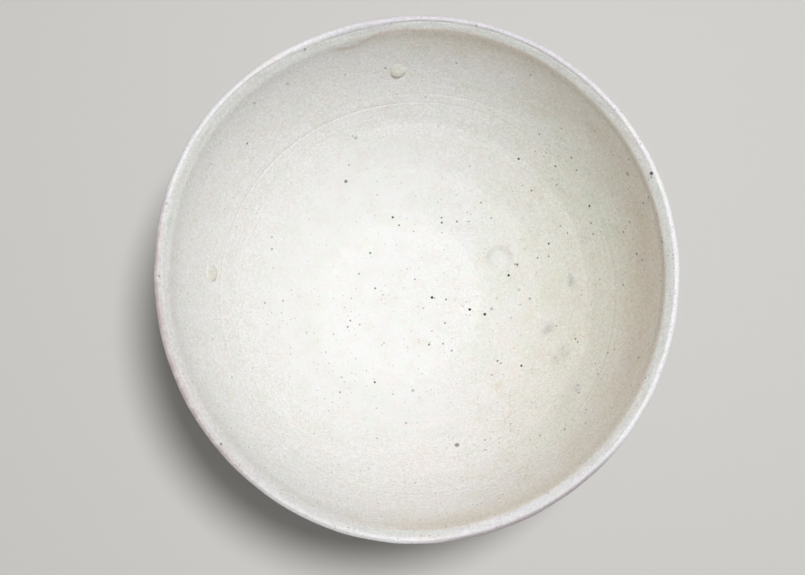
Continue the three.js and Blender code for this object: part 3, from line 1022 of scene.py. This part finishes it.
def make_clay_body():
    angle = column_angles(360)
    under = clay_underside()
    band_share = np.linspace(0.02, 1, 34)[:-1]
    belly_share, wall_share = steps(32), steps(69)
    skin, skin_normal = rows_of((band, band_share), (belly, belly_share), (lip_rise, [0, 0.5]),
                                (lip_fall, [0, 0.5]), (lip_bevel, [0, 0.5]))
    down = np.broadcast_to([0, -1], under.shape)
    before = np.concatenate([under, skin]), np.concatenate([down, skin_normal])
    after = rows_of((pool_side, [0, 0.5]), (pool_floor, even(8)))
    lean = leaned(wall_share, angle)
    place, outward = through_wall(before, lean, after)
    band_row, wall_row = len(under), len(before[0])
    belly_row = band_row + len(band_share)
    wall_rows = slice(wall_row, wall_row + len(wall_share))

    relief = np.zeros(place.shape[:2])
    radius = under[:, :1]
    spiral = np.cos(2 * np.pi * radius / SPIRAL_PITCH - angle)
    trimmed = SPIRAL_DEPTH * np.sign(spiral) * np.abs(spiral) ** 0.6
    trimmed += unevenness(angle, radius, reach=0.04, seed=41, most=30, pitch=6)
    relief[:band_row] = trimmed * between(radius, 1, 3, hollow - 2.6, hollow - 1.2)
    run = (band_share * band_length)[:, None]
    turned = turning_marks(angle, run, reach=0.07, pitch=1.4, swing=2)
    turned += unevenness(angle, run, reach=0.03, seed=43, most=24, pitch=5)
    relief[band_row:belly_row] = np.minimum(turned - 0.02, 0.04) * between(run, 0, 1, 5, 9)
    relief[belly_row:belly_row + len(belly_share)] = ridges(belly_share)[:, None] - CLAY_INSET
    relief[wall_rows] = finger_relief(wall_share, angle) + crease_wear(lean * wall_length, angle)
    relief[wall_rows] -= CLAY_INSET * smooth(wall_share, 0, 0.05)[:, None]
    relief[wall_rows.stop:-1] = -CLAY_INSET
    shift = pool_shift(place[..., 0]) * (np.arange(len(place)) >= wall_row)[:, None]
    places = lifted(place, outward, relief, angle, shift)
    piece = solid_from("clay_body_skin", places, False, "bare_clay")
    piece.data.materials.append(clay_material("bare_clay"))
    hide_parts("clay_body")


def foot_outline(inner_radius):
    """The foot ring's outline, from the top of its inner side round to that of its outer side."""
    outer_foot, inner_foot = FOOT_RADIUS - FOOT_WAIST / 2, inner_radius + FOOT_WAIST
    outer_toe, inner_toe = outer_foot - FOOT_CHAMFER, inner_foot + FOOT_CHAMFER
    outer_side = bezier([FOOT_RADIUS, FOOT_HEIGHT], [FOOT_RADIUS - 2 * FOOT_WAIST, FOOT_HEIGHT / 2],
                        [outer_foot, FOOT_CHAMFER])
    outer_round = bezier([outer_foot, FOOT_CHAMFER], [outer_foot - 0.15, 0.15], [outer_toe, 0])
    base = bezier([outer_toe, 0], [inner_toe, 0])
    inner_round = bezier([inner_toe, 0], [inner_foot + 0.15, 0.15], [inner_foot, FOOT_CHAMFER])
    inner_side = bezier([inner_foot, FOOT_CHAMFER], [inner_radius, FOOT_HEIGHT / 3],
                        [inner_radius, FOOT_HEIGHT])
    return np.concatenate([outer_side(steps(25)), outer_round(steps(7)), base(steps(11)),
                           inner_round(steps(7)), inner_side(even(20))])[::-1]


def make_foot_ring():
    angle = column_angles(480)
    inner_radius = FOOT_RADIUS - FOOT_WALL
    outline = foot_outline(inner_radius)
    outward = right_of(np.roll(outline, -1, axis=0) - np.roll(outline, 1, axis=0))
    radius, height = outline[:, :1], outline[:, 1:]
    turned = turning_marks(angle, height, reach=0.06, pitch=1.25, swing=1.5) - 0.05
    turned += unevenness(angle, height, reach=0.045, seed=51, most=26, pitch=4)
    worn = unevenness(angle, height, reach=0.05, seed=57, least=8, most=60, pitch=3)
    side = between(height, 0.5, 1.4, FOOT_HEIGHT - 0.8, FOOT_HEIGHT - 0.2)
    toe = between(height, 0.02, 0.2, 0.7, 1.2)
    relief = np.minimum(turned, 0.03) * side + np.minimum(worn, 0) * toe
    shift = np.where(radius < (FOOT_RADIUS + inner_radius) / 2, FOOT_OFF_CENTRE, 0), 0
    places = lifted(outline[:, None], outward[:, None], relief, angle, shift)
    piece = solid_from("foot_ring_skin", places, True, "foot_clay")
    piece.data.materials.append(clay_material("foot_clay"))
    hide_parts("foot_ring")


make_inner_glaze()
make_outer_glaze()
make_clay_body()
make_foot_ring()

# The stage: sizes and distances in metres, angles in degrees.
FLOOR_COLOUR = rgb(0.56, 0.55, 0.53)
BACKDROP_COLOUR = rgb(0.72, 0.71, 0.69)
SKY_COLOUR = rgb(1, 1, 1)
SKY_STRENGTH = 0.25
LAMP_SIZE = 0.2
LAMP_DISTANCE = 0.8
LAMP_ELEVATION = 79
LAMP_HEADING = 40
LAMP_WATTS = 6.5


def make_floor():
    bpy.ops.mesh.primitive_plane_add(size=6)
    floor = bpy.context.object
    floor.name = "floor"
    paint = bpy.data.materials.new("floor_paint")
    paint.use_nodes = True
    shader = paint.node_tree.nodes["Principled BSDF"]
    shader.inputs["Base Color"].default_value = FLOOR_COLOUR
    shader.inputs["Roughness"].default_value = 0.9
    floor.data.materials.append(paint)


def make_lamp():
    data = bpy.data.lights.new("lamp", "AREA")
    data.shape = "DISK"
    data.size = LAMP_SIZE
    data.energy = LAMP_WATTS
    lamp = add_object("lamp", data)
    toward = Vector(direction(LAMP_HEADING, LAMP_ELEVATION))
    lamp.location = Vector(rim_centre * MM) + LAMP_DISTANCE * toward
    lamp.rotation_euler = toward.to_track_quat("Z", "Y").to_euler()


def make_sky():
    """A dim even sky that lights the scene, and a plain pale one where it is seen."""
    world = bpy.data.worlds.new("sky")
    bpy.context.scene.world = world
    world.use_nodes = True
    nodes, links = world.node_tree.nodes, world.node_tree.links
    light = nodes["Background"]
    light.inputs["Color"].default_value = SKY_COLOUR
    light.inputs["Strength"].default_value = SKY_STRENGTH
    seen = nodes.new("ShaderNodeBackground")
    seen.inputs["Color"].default_value = BACKDROP_COLOUR
    rays = nodes.new("ShaderNodeLightPath")
    choice = nodes.new("ShaderNodeMixShader")
    either = nodes.new("ShaderNodeMath")
    either.operation = "MAXIMUM"
    links.new(rays.outputs["Is Camera Ray"], either.inputs[0])
    links.new(rays.outputs["Is Glossy Ray"], either.inputs[1])
    links.new(either.outputs[0], choice.inputs[0])
    links.new(light.outputs[0], choice.inputs[1])
    links.new(seen.outputs[0], choice.inputs[2])
    links.new(choice.outputs[0], nodes["World Output"].inputs["Surface"])


make_floor()
make_lamp()
make_sky()
bpy.context.scene.view_settings.view_transform = "Standard"
